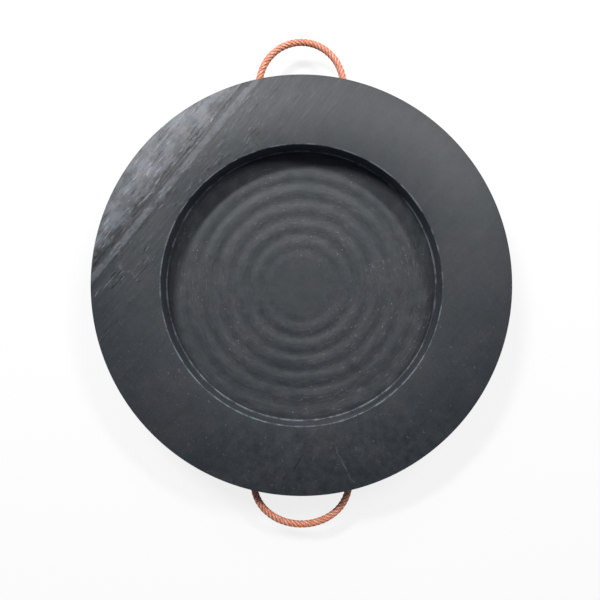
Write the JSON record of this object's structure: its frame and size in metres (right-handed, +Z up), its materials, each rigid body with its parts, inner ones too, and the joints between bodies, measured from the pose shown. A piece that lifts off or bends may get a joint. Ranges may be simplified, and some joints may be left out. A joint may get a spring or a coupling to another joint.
{
  "type": "crane outrigger pad",
  "caption": "Round black plastic pad that spreads an outrigger's load, with a flat-bottomed foot recess, turned rings on its floor and rope carrying handles.",
  "frame": {"origin": "centre of the disc's underside", "axes": "+Z up along the disc's axis, out of the recess; +Y towards the rear rope handle"},
  "size_m": [0.6, 0.7265, 0.08],
  "materials": {
    "pad_plastic": "machined and skived polyethylene, dull sheen",
    "rope": "laid monofilament rope, slightly shiny"
  },
  "bodies": {
    "root": {"pad": "pad_plastic", "rope_handle_rear": "rope", "rope_handle_front": "rope"}
  },
  "joints": []
}
